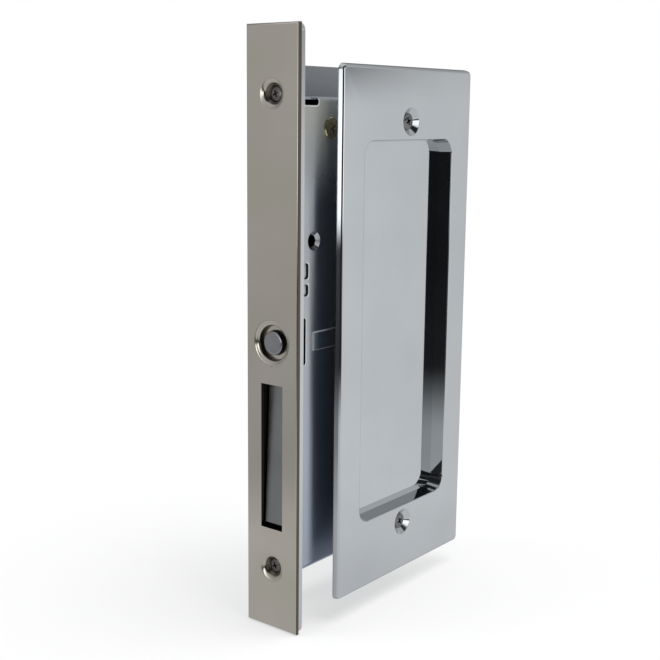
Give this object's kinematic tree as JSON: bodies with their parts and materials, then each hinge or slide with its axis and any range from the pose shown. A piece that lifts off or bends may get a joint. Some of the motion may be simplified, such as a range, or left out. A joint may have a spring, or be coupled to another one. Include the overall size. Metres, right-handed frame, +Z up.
{
  "type": "pocket door lock",
  "caption": "Pocket door lock set: edge trim plate with push button and swing-out edge pull on a folded mortise case, between rectangular flush pulls.",
  "frame": {"origin": "middle of the forend's back face, where it seats on the door's edge", "axes": "+X into the door from its edge, +Y across the door from the near pull to the far pull, +Z up"},
  "size_m": [0.108, 0.036, 0.232],
  "materials": {
    "satin_nickel": "satin nickel, fine brushed",
    "zinc_plate": "bright zinc plate on folded steel",
    "bright_steel": "turned steel",
    "spring_steel": "spring wire",
    "black_steel": "black oxide on steel",
    "satin_zinc": "satin zinc casting",
    "yellow_zinc": "yellow zinc plate on steel",
    "polished_chrome": "mirror chrome"
  },
  "bodies": {
    "lock_body": {"trim_plate": "satin_nickel", "forend_plate": "zinc_plate", "trim_screws": "satin_nickel", "button_bezel": "satin_nickel", "button_spring": "spring_steel", "pull_pin": "bright_steel", "stop_pin": "bright_steel", "catch_pin": "bright_steel", "pull_spring": "spring_steel", "catch_spring": "spring_steel", "pull_bracket": "black_steel", "case_pan": "zinc_plate", "case_cover": "zinc_plate", "case_posts": "zinc_plate", "case_screws": "yellow_zinc", "forend_rivets": "zinc_plate", "near_pull": "polished_chrome", "far_pull": "polished_chrome", "pull_screws": "polished_chrome", "sleeve_nuts": "polished_chrome"},
    "edge_pull": {"edge_pull": "satin_zinc"},
    "push_button": {"push_button": "satin_nickel"},
    "catch_lever": {"catch_lever": "zinc_plate"}
  },
  "joints": [
    {"name": "edge_pull_swing", "type": "hinge", "parent": "lock_body", "child": "edge_pull", "pos_m": [0.0055, 0, -0.0675], "axis": [0, -1, 0], "range_deg": [0, 45], "deforming": ["pull_spring"]},
    {"name": "button_press", "type": "slide", "parent": "lock_body", "child": "push_button", "axis": [1, 0, 0], "range_m": [0, 0.003], "stiffness_N_per_m": 100, "springref_m": -0.005, "deforming": ["button_spring"]},
    {"name": "catch_turn", "type": "hinge", "parent": "lock_body", "child": "catch_lever", "pos_m": [0.012, 0, 0.015], "axis": [0, -1, 0], "range_deg": [0, 11], "deforming": ["catch_spring"]}
  ],
  "couplings": [
    {"joint": "button_press", "follows": "edge_pull_swing", "m_per_rad": 0.003819},
    {"joint": "catch_turn", "follows": "edge_pull_swing", "ratio": 0.24}
  ]
}
